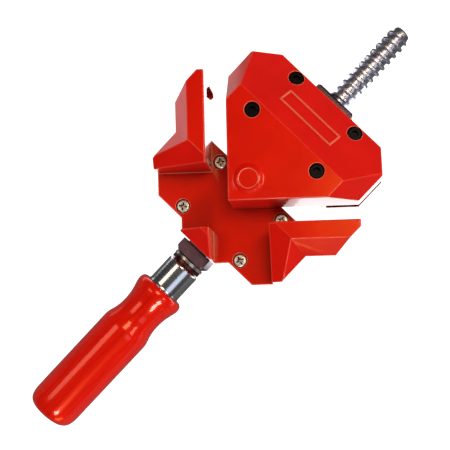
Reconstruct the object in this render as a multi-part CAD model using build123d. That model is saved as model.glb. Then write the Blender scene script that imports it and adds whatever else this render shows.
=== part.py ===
from build123d import *
import math
import os

# A 90-degree corner clamp. Millimetres, +Z up.
# Origin: on the bench, below the point where the planes of the two fixed clamping faces meet.
# +X runs along the spindle, from the handle to the free end. The clamp is a mirror image in Y.

# Directions and shares, which have no length
DIAGONAL = math.sqrt(2)
SIDES = (1, -1)
HALF_CIRCLE = 180
RIGHT_ANGLE = 90
ARM_ANGLE = 45
HEXAGON = 6
DOWN = -1

# Clearances and the overrun of every cut
cut_overrun = 2.0
running_clearance = 0.05
fixed_clearance = 0.02
loose_clearance = 0.4
swivel_clearance = 0.9

# Heights
plate_top_z = 30.0
arm_top_z = 60.0
spindle_z = 20.0

# Fixed body in plan. "Across" is measured outwards from a clamping face, "along" from the corner.
arm_length = 104.0
arm_tip_flat = 4.8
arm_top_width = 11.8
arm_foot_width = 22.3
block_width = 39.2
block_start_along = 41.8
wing_y = 62.4
tip_y = (arm_length + arm_tip_flat) / DIAGONAL
plate_front_x = 45.2
plate_back_x = -9.0
hood_back_x = -16.2
face_step = 0.6

# Slopes of the cast roof faces: where each starts and what it drops per unit of run
back_slope_x = 32.2
back_slope_drop = 0.545
wing_slope_y = 48.4
wing_slope_drop = 0.93
arm_slope_drop = 1.248
hood_top_z = 50.0
hood_crease_x = -5.0
hood_slope_drop = 0.68
casting_round = 0.9
plate_edge_bevel = 0.45

# Six-sided pocket in each fixed clamping face, in shares of the arm's length and height
pocket_shares = (
    (0.853, 0.802),
    (0.915, 0.787),
    (0.981, 0.517),
    (0.985, 0.217),
    (0.958, 0.195),
    (0.8875, 0.475),
)
pocket_depth = 5.6

# Screws that join the two halves of the body
body_screw_front = (38.5, 30.2)
body_screw_rear = (-2.3, 28.2)
body_screw_head_r = 4.75
body_screw_head_h = 3.0
body_screw_head_bevel = 0.8
body_screw_shank_r = 2.5
body_screw_length = 20.0
body_screw_sink = 0.2
body_screw_hole_clearance = 0.2

# Bearing block and its swivel
swivel_x = -10.0
block_head_back_x = -27.4
block_head_front_x = -17.3
block_head_half_width = 12.5
block_head_half_height = 9.6
block_head_bevel = 3.2
block_body_front_x = -3.2
block_body_half_width = 8.4
block_body_half_height = 7.6
block_edge_bevel = 0.8
swivel_pin_r = 4.0
swivel_pin_seat = 2.2
upper_swivel_pin_top_z = 41.0
lower_swivel_pin_bottom_z = 4.0
swivel_pin_bevel = 0.6
swivel_pin_end_room = 0.5

# Spindle
spindle_thread_r = 8.0
spindle_thread_start_x = -1.9
spindle_tip_x = 193.2
spindle_tip_bevel = 2.0
spindle_journal_r = 5.0
spindle_tang_end_x = -160.0
spindle_tang_bevel = 1.0
channel_half_width = 12.2

# Washers, collar and pins on the spindle
front_washer_r = 7.6
front_washer_thickness = 1.2
rear_washer_r = 12.2
rear_washer_thickness = 2.0
thrust_gap = 0.05
collar_r = 9.6
collar_length = 9.4
collar_bevel = 0.4
collar_shoulder_r = 11.8
collar_shoulder_length = 3.0
collar_pin_r = 1.5
handle_pin_r = 1.6
handle_pin_x = -49.0

# Ferrule and handle
ferrule_front_x = -33.3
ferrule_back_x = -56.0
ferrule_r = 12.6
ferrule_wall = 1.2
ferrule_lip = 1.4
ferrule_bead_r = 12.9
ferrule_bead_length = 1.6
handle_neck_length = 14.0
handle_face_r = 16.6
handle_length = 124.4
handle_r = 18.4
handle_waist_shares = ((0.0322, 0.9946), (0.0804, 0.943), (0.1849, 0.8315), (0.2854, 0.943), (0.3336, 1.0))
handle_end_shares = ((0.8923, 1.0), (0.9727, 0.902), (1.0, 0.6304))

# Moving jaw, in its own coordinates: its corner at x = 0. It rests face_gap away from both arms.
face_gap = 14.8
jaw_rest_x = face_gap * DIAGONAL
jaw_top_z = 60.8
jaw_parting_z = 31.2
jaw_bottom_z = 0.5
jaw_tip_y = 62.4
jaw_tip_end_x = 85.6
jaw_back_x = 100.2
jaw_back_half_width = 47.3
jaw_ridge_x = 62.2
jaw_back_drop = 0.6
jaw_ridge_y = 47.6
jaw_tip_drop = 1.054
jaw_foot_drop = 1.18
jaw_foot_front_x = 42.4
jaw_foot_lean = 5.6
jaw_foot_round = 0.7
jaw_groove_height = 7.2
jaw_groove_depth = 1.4
jaw_groove_start_x = 46.2

# Nut in the moving jaw
nut_x = 85.0
nut_r = 12.5
nut_bottom_z = 8.9
nut_top_z = 30.0
nut_neck_start_x = 92.0
nut_neck_end_x = 101.4
nut_neck_half_width = 15.0
nut_neck_half_height = 9.6
nut_end_room = 0.3
nut_window_half_width = 16.3
nut_plate_thickness = 3.9
nut_plate_half_width = 16.6
nut_plate_half_height = 11.0
nut_plate_bevel = 1.5
nut_plate_screw_y = 12.3
nut_plate_screw_r = 1.5
nut_plate_screw_head_r = 2.6
nut_plate_screw_head_h = 1.4
nut_plate_screw_length = 12.0
jaw_channel_half_width = 10.8

# Screws of the moving jaw
jaw_screw_front = (55.1, 30.1)
jaw_screw_rear = (94.2, 27.9)
jaw_screw_head_r = 5.0
jaw_screw_head_h = 6.0
jaw_screw_head_bevel = 0.6
jaw_screw_shank_r = 3.0
jaw_screw_counterbore_r = 5.4
jaw_screw_socket_r = 2.9
jaw_screw_socket_depth = 3.2
jaw_screw_front_top_z = 59.6
jaw_screw_front_length = 38.0
jaw_screw_rear_top_z = 39.3
jaw_screw_rear_length = 20.0

# Boss and bare name frame on the moving jaw
boss_x = 20.1
boss_base_r = 10.8
boss_top_r = 7.6
boss_height = 1.6
boss_dish_r = 6.6
boss_dish_depth = 0.5
frame_start_x = 74.3
frame_end_x = 84.4
frame_half_width = 23.3
frame_rim = 0.8
frame_height = 0.6


def arm_point(side, across, along):
    """Plan position of a point on an arm; side is 1 for the left arm and -1 for the right."""
    return ((along - across) / DIAGONAL, side * (along + across) / DIAGONAL)


def arm_point_at_y(side, across, y):
    return arm_point(side, across, y * DIAGONAL - across)


def arm_point_at_x(side, across, x):
    return arm_point(side, across, x * DIAGONAL + across)


def prism(points, bottom_z, top_z):
    """Upright prism over a plan outline."""
    face = Plane.XY.offset(bottom_z) * make_face(Polyline(*points, close=True))
    return extrude(face, top_z - bottom_z)


def block(low, high):
    """Box between two opposite corners."""
    size = [b - a for a, b in zip(low, high)]
    middle = [(a + b) / 2 for a, b in zip(low, high)]
    return Pos(*middle) * Box(*size)


def upright(radius, bottom_z, top_z, x=0, y=0):
    """Cylinder that stands upright."""
    return Pos(x, y, (bottom_z + top_z) / 2) * Cylinder(radius, top_z - bottom_z)


def lying(radius, start_x, end_x, y=0, z=spindle_z):
    """Cylinder that lies along X."""
    return Pos((start_x + end_x) / 2, y, z) * Rot(0, RIGHT_ANGLE, 0) * Cylinder(radius, end_x - start_x)


def lying_cone(start_r, end_r, start_x, end_x, y=0, z=spindle_z):
    return Pos((start_x + end_x) / 2, y, z) * Rot(0, RIGHT_ANGLE, 0) * Cone(start_r, end_r, end_x - start_x)


def turned(points):
    """Solid of revolution round the spindle's axis, from (x, radius) points."""
    outline = Plane.XZ * make_face(Polyline(*points, close=True))
    return Pos(0, 0, spindle_z) * revolve(outline, Axis.X)


def slope_cutter(x, y, start_z, heading, drop, reach, half_span):
    """Everything above a face that starts at start_z and falls by drop per unit of run along heading."""
    top = start_z + reach * drop
    points = ((0, start_z), (reach, start_z - reach * drop), (reach, top), (0, top))
    wedge = extrude(Plane.XZ * make_face(Polyline(*points, close=True)), half_span, both=True)
    return Pos(x, y, 0) * Rot(0, 0, heading) * wedge


# Plan outline of the fixed body, one side at a time
def body_outline(side):
    neck_across = -hood_back_x * DIAGONAL
    return [
        (hood_back_x, -side * hood_back_x),
        arm_point_at_x(side, neck_across, plate_back_x),
        arm_point_at_x(side, block_width, plate_back_x),
        arm_point_at_y(side, block_width, wing_y),
        arm_point_at_y(side, arm_foot_width, wing_y),
        arm_point_at_y(side, arm_foot_width, tip_y),
        arm_point(side, arm_tip_flat, arm_length),
        arm_point(side, 0, arm_length),
        (plate_front_x, side * plate_front_x),
    ]


body_plan = body_outline(1) + body_outline(-1)[::-1]
roof_reach = arm_length
clear_of_all = arm_length * 2


def beside_face(side, most_across):
    """Everything over an arm's own strip, from its clamping face outwards."""
    low = (block_start_along, 0, 0)
    high = (clear_of_all, most_across, arm_top_z)
    strip = Rot(0, 0, ARM_ANGLE) * block(low, high)
    return strip if side > 0 else mirror(strip, Plane.XZ)


def raised_arm(side):
    """Arm above the plate: a rounded bar under its own slope, and a rounded wing under the side slope."""
    ridge_x, ridge_y = arm_point(side, arm_top_width, block_start_along)
    outwards = side * (HALF_CIRCLE - ARM_ANGLE)
    arm_slope = slope_cutter(ridge_x, ridge_y, arm_top_z, outwards, arm_slope_drop, roof_reach, clear_of_all)
    side_slope = slope_cutter(0, side * wing_slope_y, arm_top_z, side * RIGHT_ANGLE, wing_slope_drop,
                              roof_reach, clear_of_all)
    back_slope = slope_cutter(back_slope_x, 0, arm_top_z, HALF_CIRCLE, back_slope_drop, roof_reach,
                              clear_of_all)
    over_body = prism(body_plan, spindle_z - cut_overrun, arm_top_z)
    within_wing = block((-clear_of_all, -wing_y, 0), (clear_of_all, wing_y, arm_top_z))
    bar = (over_body & beside_face(side, arm_foot_width)) - arm_slope - back_slope
    wing = (over_body & beside_face(side, clear_of_all) & within_wing) - side_slope - back_slope
    return fillet(bar.edges(), casting_round) + fillet(wing.edges(), casting_round)


def face_pocket(side):
    """Cutter for the six-sided pocket in a clamping face."""
    points = [(along * arm_length, height * arm_top_z) for along, height in pocket_shares]
    face = Plane.XZ * make_face(Polyline(*points, close=True))
    tool = extrude(face, pocket_depth, both=True)
    return Rot(0, 0, side * ARM_ANGLE) * tool


def face_step_cutter(side):
    """Sets the arm's face back a little below the height of the plate."""
    low = (plate_front_x * DIAGONAL, -face_step, -cut_overrun)
    high = (arm_length + cut_overrun, face_step, plate_top_z)
    return Rot(0, 0, side * ARM_ANGLE) * block(low, high)


def swivel_pocket(bottom_z, top_z):
    """Room for the bearing block, open at the back."""
    half_width = block_body_half_width + swivel_clearance
    low = (hood_back_x - cut_overrun, -half_width, bottom_z)
    high = (block_body_front_x + swivel_clearance, half_width, top_z)
    return block(low, high)


def spindle_channel(bottom_z, top_z):
    """Room for the spindle to turn and swivel, from the bearing block to the plate's front."""
    low = (block_body_front_x, -channel_half_width, bottom_z)
    high = (plate_front_x + cut_overrun, channel_half_width, top_z)
    return block(low, high)


body_screw_spots = [(x, side * y) for x, y in (body_screw_front, body_screw_rear) for side in SIDES]
body_screw_top_z = plate_top_z - body_screw_sink
body_screw_seat_z = body_screw_top_z - body_screw_head_h
swivel_room_z = block_body_half_height + loose_clearance
channel_room_z = spindle_thread_r + loose_clearance / 2


def make_body_upper_casting():
    plate = prism(body_plan, spindle_z, plate_top_z)
    plate = chamfer(plate.edges().group_by(Axis.Z)[0] + plate.edges().group_by(Axis.Z)[-1], plate_edge_bevel)
    hood_plan = ((0, 0), (hood_back_x, -hood_back_x), (hood_back_x, hood_back_x))
    hood = prism(hood_plan, spindle_z - cut_overrun, hood_top_z)
    hood -= slope_cutter(hood_crease_x, 0, hood_top_z, HALF_CIRCLE, hood_slope_drop, roof_reach, clear_of_all)
    casting = plate + [raised_arm(side) for side in SIDES] + fillet(hood.edges(), casting_round)
    casting &= block((hood_back_x, -tip_y, spindle_z), (arm_length, tip_y, arm_top_z))
    casting -= swivel_pocket(spindle_z, spindle_z + swivel_room_z)
    casting -= spindle_channel(spindle_z, spindle_z + channel_room_z)
    casting -= upright(swivel_pin_r + running_clearance, spindle_z,
                       upper_swivel_pin_top_z + swivel_pin_end_room, swivel_x)
    for side in SIDES:
        casting -= face_pocket(side)
        casting -= face_step_cutter(side)
    for x, y in body_screw_spots:
        casting -= upright(body_screw_head_r + loose_clearance, body_screw_seat_z,
                           plate_top_z + cut_overrun, x, y)
        casting -= upright(body_screw_shank_r + body_screw_hole_clearance, spindle_z, plate_top_z, x, y)
    return casting


def make_body_lower_casting():
    casting = prism(body_plan, 0, spindle_z)
    casting = rounded_base(casting)
    casting -= swivel_pocket(spindle_z - swivel_room_z, spindle_z + cut_overrun)
    casting -= spindle_channel(spindle_z - channel_room_z, spindle_z + cut_overrun)
    casting -= upright(swivel_pin_r + running_clearance, lower_swivel_pin_bottom_z - swivel_pin_end_room,
                       spindle_z, swivel_x)
    for side in SIDES:
        casting -= face_pocket(side)
        casting -= face_step_cutter(side)
    thread_end_z = body_screw_seat_z - body_screw_length - swivel_pin_end_room
    for x, y in body_screw_spots:
        casting -= upright(body_screw_shank_r + fixed_clearance, thread_end_z, spindle_z + cut_overrun, x, y)
    return casting


def rounded_base(casting):
    """Bevels the outer edge that meets the bench."""
    return chamfer(casting.faces().sort_by(Axis.Z)[0].edges(), casting_round)


def make_body_screws():
    screws = []
    for x, y in body_screw_spots:
        head = upright(body_screw_head_r, body_screw_seat_z, body_screw_top_z, x, y)
        head = chamfer(head.edges().group_by(Axis.Z)[-1], body_screw_head_bevel)
        shank = upright(body_screw_shank_r, body_screw_seat_z - body_screw_length, body_screw_seat_z, x, y)
        screws.append(head + shank)
    return Compound(screws)


def make_bearing_block():
    head = block((block_head_back_x, -block_head_half_width, spindle_z - block_head_half_height),
                 (block_head_front_x, block_head_half_width, spindle_z + block_head_half_height))
    upright_back = head.edges().filter_by(Axis.Z).group_by(Axis.X)[0]
    head = chamfer(upright_back, block_head_bevel)
    head = chamfer(head.faces().filter_by(Axis.Z).edges(), block_edge_bevel)
    body_back_x = block_head_front_x - block_edge_bevel
    body = block((body_back_x, -block_body_half_width, spindle_z - block_body_half_height),
                 (block_body_front_x, block_body_half_width, spindle_z + block_body_half_height))
    whole = head + body
    whole -= lying(spindle_journal_r + running_clearance, block_head_back_x - cut_overrun,
                   block_body_front_x + cut_overrun)
    body_top_z = spindle_z + block_body_half_height
    body_bottom_z = spindle_z - block_body_half_height
    seat_r = swivel_pin_r + fixed_clearance
    whole -= upright(seat_r, body_top_z - swivel_pin_seat, body_top_z + cut_overrun, swivel_x)
    whole -= upright(seat_r, body_bottom_z - cut_overrun, body_bottom_z + swivel_pin_seat, swivel_x)
    return whole


def swivel_pin(bottom_z, top_z, end):
    """Pin with a lead-in bevel on the end that goes into a casting."""
    pin = upright(swivel_pin_r, bottom_z, top_z, swivel_x)
    return chamfer(pin.edges().group_by(Axis.Z)[end], swivel_pin_bevel)


def make_upper_swivel_pin():
    return swivel_pin(spindle_z + block_body_half_height - swivel_pin_seat, upper_swivel_pin_top_z, -1)


def make_lower_swivel_pin():
    return swivel_pin(lower_swivel_pin_bottom_z, spindle_z - block_body_half_height + swivel_pin_seat, 0)


rear_washer_front_x = block_head_back_x - thrust_gap
rear_washer_back_x = rear_washer_front_x - rear_washer_thickness
collar_front_x = rear_washer_back_x - thrust_gap
collar_back_x = collar_front_x - collar_length
collar_pin_x = collar_back_x + (ferrule_front_x - collar_back_x) / 2
front_washer_back_x = block_body_front_x + thrust_gap
washer_bore_r = spindle_journal_r + running_clearance


def make_spindle():
    points = (
        (spindle_tang_end_x, 0),
        (spindle_tang_end_x, spindle_journal_r - spindle_tang_bevel),
        (spindle_tang_end_x + spindle_tang_bevel, spindle_journal_r),
        (spindle_thread_start_x, spindle_journal_r),
        (spindle_thread_start_x, spindle_thread_r),
        (spindle_tip_x - spindle_tip_bevel, spindle_thread_r),
        (spindle_tip_x, spindle_thread_r - spindle_tip_bevel),
        (spindle_tip_x, 0),
    )
    rod = turned(points)
    rod -= upright(collar_pin_r + fixed_clearance, 0, plate_top_z + spindle_z, collar_pin_x)
    rod -= crossways(handle_pin_r + fixed_clearance, ferrule_r * 2, handle_pin_x)
    return rod


def crossways(radius, half_length, x):
    """Cylinder through the spindle's axis, along Y."""
    return Pos(x, 0, spindle_z) * Rot(RIGHT_ANGLE, 0, 0) * Cylinder(radius, half_length * 2)


def washer(radius, back_x, thickness):
    ring = lying(radius, back_x, back_x + thickness)
    return ring - lying(washer_bore_r, back_x - cut_overrun, back_x + thickness + cut_overrun)


def make_rear_thrust_washer():
    return washer(rear_washer_r, rear_washer_back_x, rear_washer_thickness)


def make_front_thrust_washer():
    return washer(front_washer_r, front_washer_back_x, front_washer_thickness)


def make_retaining_collar():
    """Shoulder that runs on the washer, and a hub pinned to the spindle inside the ferrule."""
    shoulder = lying(collar_shoulder_r, collar_front_x - collar_shoulder_length, collar_front_x)
    shoulder = chamfer(shoulder.edges().filter_by(GeomType.CIRCLE), collar_bevel)
    ring = shoulder + lying(collar_r, collar_back_x, collar_front_x - collar_shoulder_length)
    ring -= lying(spindle_journal_r + fixed_clearance, collar_back_x - cut_overrun,
                  collar_front_x + cut_overrun)
    return ring - upright(collar_pin_r + fixed_clearance, 0, plate_top_z + spindle_z, collar_pin_x)


def make_collar_pin():
    half_length = collar_r - collar_bevel
    return upright(collar_pin_r, spindle_z - half_length, spindle_z + half_length, collar_pin_x)


def make_ferrule():
    inner_r = ferrule_r - ferrule_wall
    lip_r = collar_r + loose_clearance
    points = (
        (ferrule_front_x, lip_r),
        (ferrule_front_x, ferrule_r - ferrule_wall / 2),
        (ferrule_front_x - ferrule_wall / 2, ferrule_r),
        (ferrule_back_x + ferrule_bead_length, ferrule_r),
        (ferrule_back_x + ferrule_bead_length / 2, ferrule_bead_r),
        (ferrule_back_x, ferrule_bead_r),
        (ferrule_back_x, inner_r),
        (ferrule_front_x - ferrule_lip, inner_r),
        (ferrule_front_x - ferrule_lip, lip_r),
    )
    return turned(points) - crossways(handle_pin_r + fixed_clearance, ferrule_r * 2, handle_pin_x)


def arc_chain(points, heading):
    """Arcs through the points, each running smoothly on from the one before."""
    arcs = []
    for start, end in zip(points, points[1:]):
        arc = TangentArc(start, end, tangent=heading)
        heading = arc % 1
        arcs.append(arc)
    return arcs


def handle_points(shares):
    """Profile points from shares of the handle's length, from the ferrule, and of its radius."""
    return [(ferrule_back_x - along * handle_length, width * handle_r) for along, width in shares]


def make_handle():
    neck_r = ferrule_r - ferrule_wall - fixed_clearance
    neck_x = ferrule_back_x + handle_neck_length
    head_face_x = ferrule_back_x - fixed_clearance
    waist_points = handle_points(handle_waist_shares)
    end_points = handle_points(handle_end_shares)
    head = TangentArc(waist_points[0], (head_face_x, handle_face_r), tangent=(1, 0))
    grip = Line(waist_points[-1], end_points[0])
    inside = Polyline(
        end_points[-1],
        (end_points[-1][0], 0),
        (neck_x, 0),
        (neck_x, neck_r),
        (head_face_x, neck_r),
        (head_face_x, handle_face_r),
    )
    curves = [head, grip, inside] + arc_chain(waist_points, (DOWN, 0)) + arc_chain(end_points, (DOWN, 0))
    wood = Pos(0, 0, spindle_z) * revolve(Plane.XZ * make_face(Curve() + curves), Axis.X)
    wood -= lying(spindle_journal_r + fixed_clearance, spindle_tang_end_x - fixed_clearance,
                  neck_x + cut_overrun)
    return wood - crossways(handle_pin_r + fixed_clearance, ferrule_r * 2, handle_pin_x)


def make_handle_pin():
    return crossways(handle_pin_r, ferrule_r, handle_pin_x)


def jaw_outline():
    left = [(jaw_tip_y, jaw_tip_y), (jaw_tip_end_x, jaw_tip_y), (jaw_back_x, jaw_back_half_width)]
    right = [(x, -y) for x, y in left[::-1]]
    return [(0, 0)] + left + right


def jaw_facets(start_z, drop_sign, tip_drop):
    """Cutters for the two tip facets, above the jaw or mirrored below it."""
    cutters = []
    for side in SIDES:
        cutter = slope_cutter(0, side * jaw_ridge_y, 0, side * RIGHT_ANGLE, tip_drop, roof_reach,
                              clear_of_all)
        if drop_sign < 0:
            cutter = mirror(cutter, Plane.XY)
        cutters.append(Pos(0, 0, start_z) * cutter)
    return cutters


jaw_screw_spots = (
    (jaw_screw_front, jaw_screw_front_top_z, jaw_screw_front_length),
    (jaw_screw_rear, jaw_screw_rear_top_z, jaw_screw_rear_length),
)


def jaw_screw_places():
    for (x, y), top_z, length in jaw_screw_spots:
        for side in SIDES:
            yield x, side * y, top_z, length


def name_frame():
    """Raised bare rectangle on the back facet."""
    lean = math.degrees(math.atan(jaw_back_drop))
    run = (frame_end_x - frame_start_x) / math.cos(math.radians(lean))
    middle_x = (frame_start_x + frame_end_x) / 2
    middle_z = jaw_top_z - jaw_back_drop * (middle_x - jaw_ridge_x)
    rim = Box(run, frame_half_width * 2, frame_height * 2)
    rim -= Box(run - frame_rim * 2, (frame_half_width - frame_rim) * 2, frame_height * 2 + cut_overrun)
    return Pos(middle_x, 0, middle_z) * Rot(0, lean, 0) * rim


def make_jaw_upper_shell():
    shell = prism(jaw_outline(), jaw_parting_z - cut_overrun, jaw_top_z)
    shell -= slope_cutter(jaw_ridge_x, 0, jaw_top_z, 0, jaw_back_drop, roof_reach, clear_of_all)
    shell -= jaw_facets(jaw_top_z, 1, jaw_tip_drop)
    shell = fillet(shell.edges(), casting_round)
    shell &= block((0, -jaw_tip_y, jaw_parting_z), (jaw_back_x, jaw_tip_y, jaw_top_z))
    boss = Pos(boss_x, 0, jaw_top_z + boss_height / 2) * Cone(boss_base_r, boss_top_r, boss_height)
    dish_floor_z = jaw_top_z + boss_height - boss_dish_depth
    shell += boss
    shell -= upright(boss_dish_r, dish_floor_z, dish_floor_z + cut_overrun, boss_x)
    shell += name_frame()
    for x, y, top_z, length in jaw_screw_places():
        seat_z = top_z - jaw_screw_head_h
        shell -= upright(jaw_screw_counterbore_r, seat_z, jaw_top_z + cut_overrun, x, y)
        shell -= upright(jaw_screw_shank_r + body_screw_hole_clearance, jaw_parting_z - cut_overrun,
                         jaw_top_z, x, y)
    return Pos(jaw_rest_x, 0, 0) * shell


def make_jaw_lower_shell():
    shell = prism(jaw_outline(), jaw_bottom_z, jaw_parting_z + cut_overrun)
    front_plan = (
        (-cut_overrun, jaw_bottom_z - cut_overrun),
        (jaw_foot_front_x + jaw_foot_lean, jaw_bottom_z - cut_overrun),
        (jaw_foot_front_x, jaw_parting_z + cut_overrun),
        (-cut_overrun, jaw_parting_z + cut_overrun),
    )
    shell -= extrude(Plane.XZ * make_face(Polyline(*front_plan, close=True)), clear_of_all, both=True)
    shell -= jaw_facets(jaw_bottom_z, DOWN, jaw_foot_drop)
    shell = fillet(shell.edges(), jaw_foot_round)
    shell &= block((0, -jaw_tip_y, jaw_bottom_z), (jaw_back_x, jaw_tip_y, jaw_parting_z))
    shell -= parting_groove()
    nut_room_z = nut_bottom_z - nut_end_room
    shell -= upright(nut_r + running_clearance, nut_room_z, jaw_parting_z + cut_overrun, nut_x)
    window_z = spindle_z - nut_neck_half_height - loose_clearance
    shell -= block((nut_x, -nut_window_half_width, window_z),
                   (jaw_back_x + cut_overrun, nut_window_half_width, jaw_parting_z + cut_overrun))
    channel_z = spindle_z - spindle_thread_r - loose_clearance
    shell -= block((0, -jaw_channel_half_width, channel_z),
                   (nut_x, jaw_channel_half_width, jaw_parting_z + cut_overrun))
    for x, y, top_z, length in jaw_screw_places():
        end_z = top_z - jaw_screw_head_h - length - nut_end_room
        shell -= upright(jaw_screw_shank_r + fixed_clearance, end_z, jaw_parting_z + cut_overrun, x, y)
    return Pos(jaw_rest_x, 0, 0) * shell


def parting_groove():
    """Shadow groove round the outside of the jaw, just under the parting face."""
    outer = prism(jaw_outline(), jaw_parting_z - jaw_groove_height, jaw_parting_z + cut_overrun)
    outer_face = make_face(Polyline(*jaw_outline(), close=True))
    inner_face = offset(outer_face, -jaw_groove_depth, kind=Kind.INTERSECTION)
    inner = extrude(Plane.XY.offset(jaw_parting_z - jaw_groove_height - cut_overrun) * inner_face, arm_top_z)
    front = block((-cut_overrun, -clear_of_all, 0), (jaw_groove_start_x, clear_of_all, arm_top_z))
    return outer - inner - front


def make_jaw_screws():
    screws = []
    for x, y, top_z, length in jaw_screw_places():
        seat_z = top_z - jaw_screw_head_h
        head = upright(jaw_screw_head_r, seat_z, top_z, x, y)
        head = chamfer(head.edges().group_by(Axis.Z)[-1], jaw_screw_head_bevel)
        socket = Plane.XY.offset(top_z) * Pos(x, y) * RegularPolygon(jaw_screw_socket_r, HEXAGON)
        head -= extrude(socket, -jaw_screw_socket_depth)
        screws.append(head + upright(jaw_screw_shank_r, seat_z - length, seat_z, x, y))
    return Pos(jaw_rest_x, 0, 0) * Compound(screws)


nut_plate_end_x = nut_neck_end_x + nut_plate_thickness
spindle_hole_r = spindle_thread_r + running_clearance


def make_spindle_nut():
    neck_bottom_z = spindle_z - nut_neck_half_height
    neck_top_z = spindle_z + nut_neck_half_height
    web_half_width = nut_r - loose_clearance
    nut = upright(nut_r, nut_bottom_z, nut_top_z, nut_x)
    nut += block((nut_x, -web_half_width, neck_bottom_z), (nut_neck_end_x, web_half_width, neck_top_z))
    nut += block((nut_neck_start_x, -nut_neck_half_width, neck_bottom_z),
                 (nut_neck_end_x, nut_neck_half_width, neck_top_z))
    nut -= lying(spindle_hole_r, nut_x - nut_r - cut_overrun, nut_neck_end_x + cut_overrun)
    for side in SIDES:
        hole_end_x = nut_plate_end_x - nut_plate_screw_length - nut_end_room
        nut -= lying(nut_plate_screw_r + fixed_clearance, hole_end_x, nut_neck_end_x + cut_overrun,
                     side * nut_plate_screw_y)
    return Pos(jaw_rest_x, 0, 0) * nut


def make_nut_plate():
    plate = block((nut_neck_end_x, -nut_plate_half_width, spindle_z - nut_plate_half_height),
                  (nut_plate_end_x, nut_plate_half_width, spindle_z + nut_plate_half_height))
    plate = chamfer(plate.faces().sort_by(Axis.X)[-1].edges(), nut_plate_bevel)
    plate -= lying(spindle_hole_r, nut_neck_end_x - cut_overrun, nut_plate_end_x + cut_overrun)
    for side in SIDES:
        y = side * nut_plate_screw_y
        plate -= lying(nut_plate_screw_r + fixed_clearance, nut_neck_end_x - cut_overrun, nut_plate_end_x, y)
        head_start_x = nut_plate_end_x - nut_plate_screw_head_h
        plate -= lying_cone(nut_plate_screw_r + fixed_clearance, nut_plate_screw_head_r + fixed_clearance,
                            head_start_x, nut_plate_end_x, y)
    return Pos(jaw_rest_x, 0, 0) * plate


def make_nut_plate_screws():
    screws = []
    for side in SIDES:
        y = side * nut_plate_screw_y
        head_start_x = nut_plate_end_x - nut_plate_screw_head_h
        head = lying_cone(nut_plate_screw_r, nut_plate_screw_head_r, head_start_x, nut_plate_end_x, y)
        shank = lying(nut_plate_screw_r, nut_plate_end_x - nut_plate_screw_length, head_start_x, y)
        screws.append(head + shank)
    return Pos(jaw_rest_x, 0, 0) * Compound(screws)


nodes = {
    "body_upper_casting": make_body_upper_casting(),
    "body_lower_casting": make_body_lower_casting(),
    "body_screws": make_body_screws(),
    "bearing_block": make_bearing_block(),
    "upper_swivel_pin": make_upper_swivel_pin(),
    "lower_swivel_pin": make_lower_swivel_pin(),
    "spindle": make_spindle(),
    "rear_thrust_washer": make_rear_thrust_washer(),
    "front_thrust_washer": make_front_thrust_washer(),
    "retaining_collar": make_retaining_collar(),
    "collar_pin": make_collar_pin(),
    "ferrule": make_ferrule(),
    "handle": make_handle(),
    "handle_pin": make_handle_pin(),
    "spindle_nut": make_spindle_nut(),
    "nut_plate": make_nut_plate(),
    "nut_plate_screws": make_nut_plate_screws(),
    "jaw_upper_shell": make_jaw_upper_shell(),
    "jaw_lower_shell": make_jaw_lower_shell(),
    "jaw_screws": make_jaw_screws(),
}

os.makedirs("parts", exist_ok=True)
for name, solid in nodes.items():
    export_step(solid, f"parts/{name}.step")
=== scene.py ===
import math

import bmesh
import bpy
from mathutils import Matrix, Vector


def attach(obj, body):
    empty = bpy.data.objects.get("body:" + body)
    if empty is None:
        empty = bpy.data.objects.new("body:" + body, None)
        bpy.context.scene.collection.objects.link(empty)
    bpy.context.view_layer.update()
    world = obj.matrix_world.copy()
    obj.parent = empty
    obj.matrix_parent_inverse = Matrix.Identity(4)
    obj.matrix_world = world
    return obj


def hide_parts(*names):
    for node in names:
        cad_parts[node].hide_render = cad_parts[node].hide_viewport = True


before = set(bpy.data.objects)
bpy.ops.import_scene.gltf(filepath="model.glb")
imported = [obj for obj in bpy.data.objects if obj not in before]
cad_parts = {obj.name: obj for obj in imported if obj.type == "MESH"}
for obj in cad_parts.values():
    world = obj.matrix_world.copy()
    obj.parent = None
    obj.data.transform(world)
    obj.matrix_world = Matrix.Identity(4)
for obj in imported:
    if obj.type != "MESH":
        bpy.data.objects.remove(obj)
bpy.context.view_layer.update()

# Sizes are in millimetres until a piece is finished. The spindle's axis lies along X at SPINDLE_Z, and
# JAW_X is how far the jaw stands out of the corner at rest.
MM = 0.001
SPINDLE_Z = 20.0
JAW_GAP = 14.8
JAW_X = JAW_GAP * math.sqrt(2)

# Points nearer than SAME_POINT are one, and on the thread and the castings those nearer than LOOSE_POINT
SAME_POINT = 0.0005
LOOSE_POINT = 0.002
ON_PLANE = 0.0001


# Colours and nodes

def linear(hex_colour):
    """A colour written as sRGB hex, as linear RGBA."""
    channels = [int(hex_colour[i:i + 2], 16) / 255 for i in (1, 3, 5)]
    return tuple(c / 12.92 if c <= 0.04045 else ((c + 0.055) / 1.055) ** 2.4 for c in channels) + (1.0,)


def add_node(tree, kind, inputs=None, **settings):
    """Adds a node, sets its properties, and fills its inputs with values or with other nodes' outputs."""
    node = tree.nodes.new(kind)
    for name, value in settings.items():
        setattr(node, name, value)
    for name, value in (inputs or {}).items():
        if isinstance(value, bpy.types.NodeSocket):
            tree.links.new(value, node.inputs[name])
        else:
            node.inputs[name].default_value = value
    return node


def new_material(name, **surface):
    """A material with one Principled shader; surface gives the shader's own sockets."""
    material = bpy.data.materials.new(name)
    material.use_nodes = True
    tree = material.node_tree
    tree.nodes.clear()
    shader = add_node(tree, "ShaderNodeBsdfPrincipled", surface)
    add_node(tree, "ShaderNodeOutputMaterial", {"Surface": shader.outputs[0]})
    place = add_node(tree, "ShaderNodeTexCoord").outputs["Object"]
    return material, tree, shader, place


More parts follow.
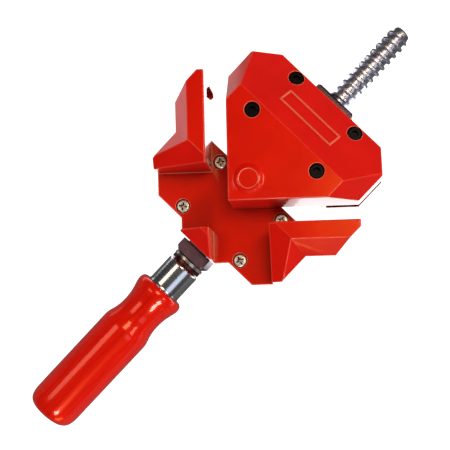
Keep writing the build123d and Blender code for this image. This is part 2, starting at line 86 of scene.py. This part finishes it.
def noise(tree, place, cell_mm, detail, **more):
    """Noise with cells of about that size."""
    inputs = {"Vector": place, "Scale": 1 / (cell_mm * MM), "Detail": detail, **more}
    return add_node(tree, "ShaderNodeTexNoise", inputs).outputs["Fac"]


def ranged(tree, value, start, end, low=0.0, high=1.0, **settings):
    """Runs from low to high while the value runs from start to end, and stays level past both."""
    inputs = {"Value": value, "From Min": start, "From Max": end, "To Min": low, "To Max": high}
    return add_node(tree, "ShaderNodeMapRange", inputs, **settings).outputs["Result"]


def mixed(tree, factor, a, b, data_type="RGBA"):
    """Runs from a to b with the factor."""
    inputs = {"Factor": factor, "A": a, "B": b}
    return add_node(tree, "ShaderNodeMix", inputs, data_type=data_type).outputs["Result"]


def bumped(tree, height, depth_mm, **more):
    """The surface's normal, tilted as by relief of that depth."""
    inputs = {"Height": height, "Distance": depth_mm * MM, **more}
    return add_node(tree, "ShaderNodeBump", inputs).outputs["Normal"]


def red_ramp(tree, value, start, first, end, second):
    """A colour that runs between two reds while the value runs from start to end."""
    red = add_node(tree, "ShaderNodeValToRGB", {"Fac": value})
    for element, position, colour in zip(red.color_ramp.elements, (start, end), (first, second)):
        element.position = position
        element.color = linear(colour)
    return red.outputs["Color"]


# Red pigment tints what it mirrors, under a clear coat that doesn't
RED_GLOSS = {"Specular IOR Level": 1.0, "Specular Tint": linear("#FF6A38"), "Coat Weight": 1.0}


def painted_die_casting(name, painted_ledge_shade=False):
    """Die casting under gloss red enamel. The cast skin only shows as a faint orange peel, painted shade
    darkens the red in corners, and a painted highlight runs light along every edge. Up-facing ledges can be
    painted dark as shade."""
    material, tree, shader, place = new_material(name, **RED_GLOSS, **{
        "Roughness": 0.45, "Coat Roughness": 0.12, "Coat IOR": 1.38})
    red = red_ramp(tree, noise(tree, place, 22, 3.0), 0.32, "#BE0702", 0.72, "#CC0C03")
    # Painted shade: the red runs darker, towards #8C0A0A, into corners and recesses.
    corner = add_node(tree, "ShaderNodeAmbientOcclusion", {"Distance": 16 * MM})
    painted_corner_shade = ranged(tree, corner.outputs["AO"], 0.3, 0.9)
    colour = mixed(tree, painted_corner_shade, linear("#8C0A0A"), red)
    rounded = add_node(tree, "ShaderNodeBevel", {"Radius": 0.6 * MM}, samples=8).outputs["Normal"]
    flat = add_node(tree, "ShaderNodeNewGeometry").outputs["Normal"]
    alike = add_node(tree, "ShaderNodeVectorMath", {0: rounded, 1: flat}, operation="DOT_PRODUCT")
    # Painted highlight: a light orange-pink along every edge, wherever the rounded normal turns from the
    # flat one.
    edge = ranged(tree, alike.outputs["Value"], 0.9997, 0.992, high=0.55)
    colour = mixed(tree, edge, colour, linear("#FF9A7C"))
    if painted_ledge_shade:
        # Painted shade: faces that look up go near black, which draws the dark line in the jaw's parting.
        facing = add_node(tree, "ShaderNodeSeparateXYZ", {"Vector": flat})
        ledge = ranged(tree, facing.outputs["Z"], 0.7, 0.95)
        colour = mixed(tree, ledge, colour, linear("#26070C"))
    tree.links.new(colour, shader.inputs["Base Color"])
    skin = bumped(tree, noise(tree, place, 6, 2.0), 0.05, Strength=1.0, Normal=rounded)
    peel = bumped(tree, noise(tree, place, 1.1, 3.0, Roughness=0.6), 0.012, Strength=1.0, Normal=skin)
    tree.links.new(peel, shader.inputs["Normal"])
    tree.links.new(skin, shader.inputs["Coat Normal"])
    return material


def lacquered_beech():
    """Turned beech, stained red and dipped in lacquer: long streaks run to orange under a wet gloss."""
    material, tree, shader, place = new_material("red_lacquered_beech", **RED_GLOSS, **{
        "Roughness": 0.24, "Coat Roughness": 0.05, "Coat IOR": 1.34})
    along = add_node(tree, "ShaderNodeMapping", {"Vector": place, "Scale": (0.07, 1.0, 1.0)})
    grain = noise(tree, along.outputs["Vector"], 2.2, 6.0, Roughness=0.62, Distortion=0.4)
    red = red_ramp(tree, grain, 0.3, "#BE0A04", 0.75, "#DA1B08")
    tree.links.new(red, shader.inputs["Base Color"])
    tree.links.new(bumped(tree, grain, 0.05, Strength=0.6), shader.inputs["Normal"])
    return material


def zinc_plated_thread():
    """Rolled thread under bright zinc plate: light crests, roots painted greyer as shade, and faint violet
    stains.
    """
    material, tree, shader, place = new_material("zinc_plated_rolled_thread", Metallic=1.0, Roughness=0.38)
    centred = add_node(tree, "ShaderNodeMapping", {"Vector": place, "Location": (0, 0, -SPINDLE_Z * MM),
                                                   "Scale": (0, 1, 1)})
    radius = add_node(tree, "ShaderNodeVectorMath", {0: centred.outputs["Vector"]}, operation="LENGTH")
    # Painted shade: the roots, nearer the axis, are drawn greyer than the crests.
    crest = ranged(tree, radius.outputs["Value"], 6.2 * MM, 7.9 * MM)
    painted_depth_shade = mixed(tree, crest, linear("#C3C8DC"), linear("#DEE6F6"))
    stain = ranged(tree, noise(tree, place, 3, 4.0), 0.5, 0.72, high=0.55)
    stained_and_root_shaded = mixed(tree, stain, painted_depth_shade, linear("#80707C"))
    tree.links.new(stained_and_root_shaded, shader.inputs["Base Color"])
    ticks = noise(tree, place, 0.5, 2.0)
    tree.links.new(bumped(tree, ticks, 0.01), shader.inputs["Normal"])
    return material


def turned_metal(name, dark, light, roughness, groove_mm, groove_depth_mm):
    """Metal turned on a lathe: fine tool rings across X that break the light into bands."""
    material, tree, shader, place = new_material(name, Metallic=1.0, Roughness=roughness)
    along = add_node(tree, "ShaderNodeMapping", {"Vector": place, "Scale": (1.0, 0.03, 0.03)})
    rings = noise(tree, along.outputs["Vector"], groove_mm, 3.0, Roughness=0.7)
    tree.links.new(mixed(tree, rings, linear(dark), linear(light)), shader.inputs["Base Color"])
    tree.links.new(bumped(tree, rings, groove_depth_mm), shader.inputs["Normal"])
    return material


def blotched_metal(name, dark, light, roughness, blotch_mm, painted_hollow_shade=False):
    """Metal with soft blotches over a fine grain. Where asked, painted shade darkens its recesses."""
    material, tree, shader, place = new_material(name, Metallic=1.0, Roughness=roughness)
    blotch = noise(tree, place, blotch_mm, 5.0, Roughness=0.6)
    colour = mixed(tree, blotch, linear(dark), linear(light))
    if painted_hollow_shade:
        # Painted shade: where other surface lies within 2 mm, the colour runs to dark brown, as in a cross
        # recess.
        hollow = add_node(tree, "ShaderNodeAmbientOcclusion", {"Distance": 2.0 * MM}, only_local=True)
        painted_depth_shade = ranged(tree, hollow.outputs["AO"], 0.45, 0.8)
        colour = mixed(tree, painted_depth_shade, linear("#3A2C26"), colour)
    tree.links.new(colour, shader.inputs["Base Color"])
    grain = noise(tree, place, 0.4, 3.0)
    tree.links.new(bumped(tree, grain, 0.012), shader.inputs["Normal"])
    return material


# Gloss red with painted shade in its corners and painted highlights on its edges, and the same with
# up-facing ledges in the jaw's parting painted dark as shade
red_enamel = painted_die_casting("gloss_red_enamel_on_die_casting")
parting_shade_enamel = painted_die_casting("red_enamel_with_painted_shade_in_the_parting", painted_ledge_shade=True)
# Wet red gloss over streaked wood
beech = lacquered_beech()
# Cool silver teeth
zinc = zinc_plated_thread()
# Violet-brown heat colours on the block and the plate
burnished = blotched_metal("burnished_tool_steel", "#513C49", "#7E6876", 0.36, 5)
# Near black with a dull shine
black_oxide = blotched_metal("black_oxide_screw_steel", "#0E0E10", "#26262A", 0.38, 2)
# Warm white heads, their cross recesses painted dark as shade
nickel = blotched_metal("nickel_plated_screw_steel", "#CBC6C2", "#F1EFEC", 0.42, 2, painted_hollow_shade=True)
# Dark brown on the collar, darker than the washers beside it
dark_brown_steel = blotched_metal("dark_brown_collar_steel", "#3E2422", "#7A4A42", 0.3, 3)
# Hard bands of light and dark along the tube
chrome = turned_metal("polished_chrome_tube", "#CDD2DA", "#E6EAEE", 0.2, 0.5, 0.0006)
# Fine lathe rings on the washers and pins
bright = turned_metal("turned_bright_steel", "#A9A6A6", "#D2CFCD", 0.28, 0.4, 0.01)


# Shaping

def chain(bm, points):
    """A line of edges through (x, radius) points, above the spindle's axis."""
    verts = [bm.verts.new((x, 0, SPINDLE_Z + r)) for x, r in points]
    return verts + [bm.edges.new(pair) for pair in zip(verts, verts[1:])]


def smooth_profile(points, parts=6):
    """Points along the smooth curve through the given (x, radius) points."""
    ends = [points[0]] + list(points) + [points[-1]]
    line = []
    for a, b, c, d in zip(ends, ends[1:], ends[2:], ends[3:]):
        for i in range(parts):
            t = i / parts
            line.append(tuple(
                0.5 * (2 * q + (r - p) * t + (2 * p - 5 * q + 4 * r - s) * t * t
                       + (3 * q - p - 3 * r + s) * t ** 3)
                for p, q, r, s in zip(a, b, c, d)))
    return line + [points[-1]]


def turned(bm, points, steps=128):
    """Spins a profile round the spindle's axis."""
    geom = chain(bm, points)
    bmesh.ops.spin(bm, geom=geom, cent=(0, 0, SPINDLE_Z), axis=(1, 0, 0), angle=math.tau, steps=steps,
                   use_merge=True)


def finished(bm, name, material, body, nodes, smooth):
    """Makes the shape a piece of the clamp, which rides on its body and stands for its CAD nodes."""
    bmesh.ops.remove_doubles(bm, verts=bm.verts, dist=SAME_POINT)
    bmesh.ops.recalc_face_normals(bm, faces=bm.faces)
    bmesh.ops.scale(bm, vec=(MM, MM, MM), verts=bm.verts)
    mesh = bpy.data.meshes.new(name)
    bm.to_mesh(mesh)
    bm.free()
    mesh.materials.append(material)
    mesh.polygons.foreach_set("use_smooth", [True] * len(mesh.polygons))
    mesh.set_sharp_from_angle(angle=math.radians(smooth))
    piece = bpy.data.objects.new(name, mesh)
    bpy.context.scene.collection.objects.link(piece)
    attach(piece, body)
    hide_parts(*nodes)
    return piece


# Spindle

THREAD_START, THREAD_END = -1.9, 193.2
THREAD_R, ROOT_R, PITCH = 8.0, 6.05, 5.8
FLANK_START, CREST_START, CREST_END = 2.5, 3.45, 4.85
THREAD_STEPS, SPARE_TURNS = 40, 2
TIP_R, TIP_LENGTH, TIP_SLOPE, TIP_CHAMFER = 6.3, 4.4, 2.0, 0.8
SHANK_R, SHANK_REAR, SHANK_CHAMFER = 5, -160, 1


def make_spindle():
    """The wide-pitch thread is one profile of many teeth, spun once while it moves on by one pitch."""
    bm = bmesh.new()
    tooth = ((0.0, ROOT_R), (FLANK_START, ROOT_R), (CREST_START, THREAD_R), (CREST_END, THREAD_R))
    turns = int((THREAD_END - THREAD_START) / PITCH) + 2 * SPARE_TURNS
    first = THREAD_START - SPARE_TURNS * PITCH
    points = [(first + i * PITCH + x, r) for i in range(turns) for x, r in tooth]
    bmesh.ops.spin(bm, geom=chain(bm, points), cent=(0, 0, SPINDLE_Z), axis=(1, 0, 0), angle=math.tau,
                   steps=THREAD_STEPS, dvec=(PITCH / THREAD_STEPS, 0, 0))
    bmesh.ops.remove_doubles(bm, verts=bm.verts, dist=LOOSE_POINT)
    for x, outwards in ((THREAD_START, -1), (THREAD_END, 1)):
        cut = bmesh.ops.bisect_plane(bm, geom=bm.verts[:] + bm.edges[:] + bm.faces[:], dist=ON_PLANE,
                                     plane_co=(x, 0, 0), plane_no=(outwards, 0, 0), clear_outer=True)
        rim = [e for e in cut["geom_cut"] if isinstance(e, bmesh.types.BMEdge)]
        bmesh.ops.edgeloop_fill(bm, edges=rim)
    for vert in bm.verts:
        into_tip = vert.co.x - (THREAD_END - TIP_LENGTH)
        if into_tip > 0:
            arm = Vector((0, vert.co.y, vert.co.z - SPINDLE_Z))
            most = max(THREAD_R - into_tip * TIP_SLOPE, TIP_R) - max(0, into_tip - TIP_LENGTH + TIP_CHAMFER)
            if arm.length > most:
                arm *= most / arm.length
                vert.co.y, vert.co.z = arm.y, arm.z + SPINDLE_Z
    shank = ((SHANK_REAR, 0), (SHANK_REAR, SHANK_R - SHANK_CHAMFER), (SHANK_REAR + SHANK_CHAMFER, SHANK_R),
             (THREAD_START, SHANK_R), (THREAD_START, 0))
    turned(bm, shank, steps=64)
    return finished(bm, "spindle_with_rolled_thread", zinc, "screw", ["spindle"], smooth=24)


make_spindle()


# Handle and what holds it

HANDLE_FRONT, HANDLE_REAR = -56.02, -180.4
HANDLE_TENON_R, HANDLE_TENON_TIP_R, HANDLE_SHOULDER_R, HANDLE_BARREL_R = 11.35, 10.6, 16.0, 18.4
FERRULE_R, FERRULE_BORE_R, FERRULE_LIP_R = 12.6, 11.4, 10.0


def make_handle():
    """Turned grip: a tenon in the ferrule, a rolled shoulder, a waist for the fingers and a round-ended
    barrel."""
    bm = bmesh.new()
    neck = [(-42.0, 0.0), (-42.0, HANDLE_TENON_TIP_R), (-42.8, HANDLE_TENON_R),
            (HANDLE_FRONT, HANDLE_TENON_R), (HANDLE_FRONT, HANDLE_SHOULDER_R)]
    waist = smooth_profile((
        (HANDLE_FRONT, HANDLE_SHOULDER_R), (-57.2, 17.45), (-60.2, 18.3), (-63.6, 17.85), (-67.2, 16.9),
        (-71.5, 15.95), (-75.5, 15.5), (-79.0, 15.36), (-83.0, 15.55), (-87.5, 16.25), (-91.0, 17.25),
        (-94.2, 18.1), (-97.6, 18.38), (-104.0, HANDLE_BARREL_R)))
    end = smooth_profile((
        (-166.0, HANDLE_BARREL_R), (-171.0, 18.3), (-174.6, 17.7), (-177.4, 16.5), (-179.3, 14.6),
        (-180.2, 12.4), (HANDLE_REAR, 10.0)))
    turned(bm, neck + waist[1:] + end + [(HANDLE_REAR, 0.0)])
    return finished(bm, "turned_handle", beech, "screw", ["handle"], smooth=40)


def make_ferrule():
    """Drawn tube with its front edge curled in and a rolled bead at the wood."""
    bm = bmesh.new()
    outside = [(-34.7, FERRULE_LIP_R), (-33.6, FERRULE_LIP_R), (-33.3, 10.4), (-33.3, 11.4), (-33.5, 12.0),
               (-34.0, 12.45), (-34.7, FERRULE_R), (-35.1, FERRULE_R), (-53.4, FERRULE_R),
               (-53.9, FERRULE_R), (-54.5, 12.72), (-55.1, 12.9), (-55.7, 12.86), (-56.0, FERRULE_R)]
    inside = [(-56.0, FERRULE_BORE_R), (-34.7, FERRULE_BORE_R), (-34.7, FERRULE_LIP_R)]
    turned(bm, outside + inside)
    return finished(bm, "rolled_ferrule", chrome, "screw", ["ferrule"], smooth=40)


make_handle()
make_ferrule()


# Screws, made upright at the origin and then moved. A head's profile is (drop from the top, radius) points,
# and the first one is the edge of its flat.

PAN_PROFILE = ((0, 3.6), (0.18, 4.15), (0.55, 4.5), (1.1, 4.7), (1.8, 4.75), (3.0, 4.75))
PAN_TOP, PAN_SCREW_END, PAN_SCREW_R = 29.8, 6.8, 2.5
CROSS_REACH, CROSS_HALF_WIDTH, CROSS_NOTCH, CROSS_DEPTH = 2.9, 0.6, 1.5, 1.9
NOTCH_HALF_WIDTH, CROTCH_SHARE = 0.25, 1.25

SOCKET_HEAD, SOCKET_SCREW_R = 6.0, 3.0
SOCKET_HEAD_PROFILE = ((0, 4.35), (0.25, 4.75), (0.65, 5.0), (SOCKET_HEAD - 0.3, 5.0), (SOCKET_HEAD, 4.8))
SOCKET_R, SOCKET_DEPTH = 2.9, 3.2

SCREW_END_CHAMFER = 0.6
SCREW_STEPS = 64


def capped_ring(bm, outer_r, outline, top, depth):
    """A flat ring round a recess of that outline, with the recess's walls and floor below it. Gives the
    ring's outer edges."""
    outer = bmesh.ops.create_circle(bm, segments=SCREW_STEPS, radius=outer_r, cap_ends=False)["verts"]
    inner = [bm.verts.new((x, y, 0)) for x, y in outline]
    rim = [bm.edges.new((inner[i - 1], inner[i])) for i in range(len(inner))]
    ring = list({e for v in outer for e in v.link_edges})
    bmesh.ops.triangle_fill(bm, edges=ring + rim, use_beauty=True)
    walls = bmesh.ops.extrude_edge_only(bm, edges=rim)["geom"]
    floor_verts = [g for g in walls if isinstance(g, bmesh.types.BMVert)]
    floor_edges = [g for g in walls if isinstance(g, bmesh.types.BMEdge)
                   and all(v in floor_verts for v in g.verts)]
    bmesh.ops.translate(bm, verts=floor_verts, vec=(0, 0, -depth))
    bmesh.ops.triangle_fill(bm, edges=floor_edges, use_beauty=True)
    bmesh.ops.translate(bm, verts=list(set(outer + inner + floor_verts)), vec=(0, 0, top))
    return ring


def grow_down(bm, edges, sections):
    """Extrudes a rim through (z, radius) sections, and closes the last one."""
    for z, radius in sections:
        made = bmesh.ops.extrude_edge_only(bm, edges=edges)["geom"]
        verts = [g for g in made if isinstance(g, bmesh.types.BMVert)]
        edges = [g for g in made if isinstance(g, bmesh.types.BMEdge) and all(v in verts for v in g.verts)]
        for vert in verts:
            flat = Vector((vert.co.x, vert.co.y))
            flat *= radius / flat.length
            vert.co = (flat.x, flat.y, z)
    bmesh.ops.edgeloop_fill(bm, edges=edges)


def cross_outline(reach, width, notch):
    """Outline of a cross recess with small notches between its wings, which are twice that width."""
    crotch = width * CROTCH_SHARE
    far, near = notch + NOTCH_HALF_WIDTH, notch - NOTCH_HALF_WIDTH
    quarter = ((reach, -width), (reach, width), (crotch, width), (far, near), (near, far), (width, crotch))
    points = []
    for i in range(4):
        turn = Matrix.Rotation(i * math.pi / 2, 2)
        points += [tuple(turn @ Vector(p)) for p in quarter]
    return points


def hexagon(radius):
    """Outline of a six-sided socket."""
    return [(radius * math.cos(i * math.pi / 3), radius * math.sin(i * math.pi / 3)) for i in range(6)]


def add_screw(bm, x, y, turn, top, profile, recess, depth, radius, end):
    """Adds a screw, turned on its axis: a flat top round its recess, the rest of its head, and its shank."""
    made = set(bm.verts)
    rim = capped_ring(bm, profile[0][1], recess, top, depth)
    head = [(top - drop, head_r) for drop, head_r in profile[1:]]
    seat = top - profile[-1][0]
    grow_down(bm, rim, head + [(seat, radius), (end + SCREW_END_CHAMFER, radius),
                               (end, radius - SCREW_END_CHAMFER)])
    new = [v for v in bm.verts if v not in made]
    bmesh.ops.rotate(bm, verts=new, matrix=Matrix.Rotation(math.radians(turn), 3, "Z"))
    bmesh.ops.translate(bm, verts=new, vec=(x, y, 0))


def make_body_screws():
    """Four pan heads with cross recesses, each stopped at its own angle."""
    bm = bmesh.new()
    cross = cross_outline(CROSS_REACH, CROSS_HALF_WIDTH, CROSS_NOTCH)
    for x, y, turn in ((38.5, 30.2, 52), (38.5, -30.2, 17), (-2.3, 28.2, 34), (-2.3, -28.2, 71)):
        add_screw(bm, x, y, turn, PAN_TOP, PAN_PROFILE, cross, CROSS_DEPTH, PAN_SCREW_R, PAN_SCREW_END)
    return finished(bm, "pan_head_body_screws", nickel, "body", ["body_screws"], smooth=30)


def make_jaw_screws():
    """Four socket heads in two rows, the rear row lower because the jaw's roof drops there."""
    bm = bmesh.new()
    # x, y, top of the head, length of the shank, and the angles of the row's two sockets
    rows = ((55.1, 30.1, 59.6, 38.0, (8, 41)), (94.2, 27.9, 39.3, 20.0, (25, 12)))
    for x, y, top, length, turns in rows:
        for side, turn in zip((1, -1), turns):
            add_screw(bm, JAW_X + x, side * y, turn, top, SOCKET_HEAD_PROFILE, hexagon(SOCKET_R),
                      SOCKET_DEPTH, SOCKET_SCREW_R, top - SOCKET_HEAD - length)
    return finished(bm, "black_socket_jaw_screws", black_oxide, "jaw", ["jaw_screws"],
                    smooth=30)


make_body_screws()
make_jaw_screws()


# Finish of the pieces whose shape comes from the frame
finishes = {
    "body_upper_casting": red_enamel,
    "body_lower_casting": red_enamel,
    "jaw_upper_shell": red_enamel,
    "jaw_lower_shell": parting_shade_enamel,
    "bearing_block": burnished,
    "nut_plate": burnished,
    "spindle_nut": burnished,
    "retaining_collar": dark_brown_steel,
    "nut_plate_screws": black_oxide,
    "rear_thrust_washer": bright,
    "front_thrust_washer": bright,
    "upper_swivel_pin": bright,
    "lower_swivel_pin": bright,
    "collar_pin": bright,
    "handle_pin": bright,
}
for name, material in finishes.items():
    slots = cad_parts[name].data.materials
    slots.clear()
    slots.append(material)

# Paint and tumbling leave no knife edges: rims of bosses, counterbores and plates get a round, in mm
RIM_SHARPER_THAN = math.radians(40)
rim_rounds = {
    "body_upper_casting": 0.4,
    "body_lower_casting": 0.3,
    "jaw_upper_shell": 0.3,
    "jaw_lower_shell": 0.3,
    "bearing_block": 0.3,
    "nut_plate": 0.3,
}
for name, width in rim_rounds.items():
    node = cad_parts[name]
    weld = node.modifiers.new("weld", "WELD")
    weld.merge_threshold = LOOSE_POINT * MM
    rim = node.modifiers.new("rim_round", "BEVEL")
    rim.width = width * MM
    rim.segments = 2
    rim.limit_method = "ANGLE"
    rim.angle_limit = RIM_SHARPER_THAN
    rim.harden_normals = True
    node.modifiers.new("flat_faces", "WEIGHTED_NORMAL").weight = 100


# Floor, light and camera

FLOOR_HALF = 3.0
CLAMP_MIDDLE_X = 60
# How brightly the floor glows to the eye, and in gloss near the clamp, further off and past the line
SEEN_GLOW, NEAR_GLOW, FAR_GLOW, DARK_GLOW = 1.3, 2.4, 0.95, 0.05


def pale_floor():
    """White paper under the clamp. Glossy rays see it as a studio does: bright round the clamp, dim further
    off, and dark beyond a slanted line on each side. That draws the dark bands along handle and spindle."""
    bm = bmesh.new()
    bmesh.ops.create_grid(bm, x_segments=1, y_segments=1, size=FLOOR_HALF)
    mesh = bpy.data.meshes.new("pale_floor")
    bm.to_mesh(mesh)
    bm.free()
    floor = bpy.data.objects.new("pale_floor", mesh)
    bpy.context.scene.collection.objects.link(floor)
    material, tree, shader, place = new_material("pale_paper", **{
        "Roughness": 0.9, "Base Color": linear("#3A3A3A"), "Emission Color": linear("#FFFFFF")})
    axes = add_node(tree, "ShaderNodeSeparateXYZ", {"Vector": place})
    aside = ranged(tree, axes.outputs["Y"], 60 * MM, 260 * MM, high=50 * MM)
    slanted = add_node(tree, "ShaderNodeMath", {0: axes.outputs["X"], 1: aside}, operation="ADD")
    along = add_node(tree, "ShaderNodeMath", {0: slanted.outputs[0], 1: CLAMP_MIDDLE_X * MM},
                     operation="SUBTRACT")
    away = add_node(tree, "ShaderNodeMath", {0: along.outputs[0]}, operation="ABSOLUTE")
    body_side = ranged(tree, away.outputs[0], 90 * MM, 75 * MM, interpolation_type="SMOOTHSTEP")
    gap = add_node(tree, "ShaderNodeVectorMath", {0: place, 1: (CLAMP_MIDDLE_X * MM, 0, 0)},
                   operation="DISTANCE")
    near = ranged(tree, gap.outputs["Value"], 85 * MM, 125 * MM, NEAR_GLOW, FAR_GLOW,
                  interpolation_type="SMOOTHSTEP")
    in_gloss = mixed(tree, body_side, DARK_GLOW, near, data_type="FLOAT")
    ray = add_node(tree, "ShaderNodeLightPath")
    glow = mixed(tree, ray.outputs["Is Glossy Ray"], SEEN_GLOW, in_gloss, data_type="FLOAT")
    tree.links.new(glow, shader.inputs["Emission Strength"])
    mesh.materials.append(material)


def softbox(name, place_mm, aim_mm, size_mm, power, colour="#FFFFFF", mirrored=True):
    """A rectangular light, aimed at a point. One that isn't mirrored lights the clamp but shows in no
    gloss."""
    light = bpy.data.lights.new(name, "AREA")
    light.shape = "RECTANGLE"
    light.size, light.size_y = size_mm[0] * MM, size_mm[1] * MM
    light.energy = power
    light.color = linear(colour)[:3]
    lamp = bpy.data.objects.new(name, light)
    bpy.context.scene.collection.objects.link(lamp)
    lamp.location = Vector(place_mm) * MM
    lamp.visible_glossy = mirrored
    lamp.rotation_euler = (Vector(aim_mm) - Vector(place_mm)).to_track_quat("-Z", "Y").to_euler()


pale_floor()
softbox("key_softbox", (-580, -610, 690), (-120, 0, 20), (260, 220), 4.2)
softbox("warm_softbox", (400, -110, 930), (40, 0, 30), (260, 420), 3.0, "#FFE4C4")
softbox("back_panel", (-240, 418, 860), (-240, 0, 30), (360, 330), 1.25, "#FFE8D2")
softbox("cool_panel", (-110, -690, 740), (-45, 0, 20), (200, 520), 0.4, "#E4ECFF")
softbox("low_softbox", (760, -190, 560), (40, 0, 30), (420, 420), 5.4, "#FFE6CC", mirrored=False)
softbox("rim_softbox", (260, -640, 640), (60, 0, 40), (220, 220), 0.8, "#FFF0E0")
softbox("side_softbox", (-640, -560, 110), (60, -60, 40), (360, 160), 1.4, "#FF9A50")
softbox("left_softbox", (-340, 620, 140), (20, 60, 40), (360, 160), 1.8, "#FFB07A", mirrored=False)
softbox("amber_panel", (225, 40, 900), (70, -40, 60), (150, 190), 0.18, "#FFB830")

# Faint grey room round the lights
world = bpy.data.worlds.new("studio")
bpy.context.scene.world = world
world.use_nodes = True
background = world.node_tree.nodes["Background"]
background.inputs["Color"].default_value = linear("#E9ECEF")
background.inputs["Strength"].default_value = 0.05

# The camera looks almost straight down. Its place and shift come from a fit to the photo's corners.
camera_data = bpy.data.cameras.new("camera")
camera = bpy.data.objects.new("camera", camera_data)
bpy.context.scene.collection.objects.link(camera)
camera.location = Vector((-7.027, -136.619, 630.927)) * MM
camera.rotation_euler = [math.radians(a) for a in (-1.2126, 3.9282, -46.2213)]
camera_data.sensor_width = 36.0
camera_data.lens = 68.0
camera_data.shift_x = -0.1385
camera_data.shift_y = 0.3648
camera_data.clip_start = 0.01
bpy.context.scene.camera = camera
bpy.context.scene.view_settings.view_transform = "Standard"
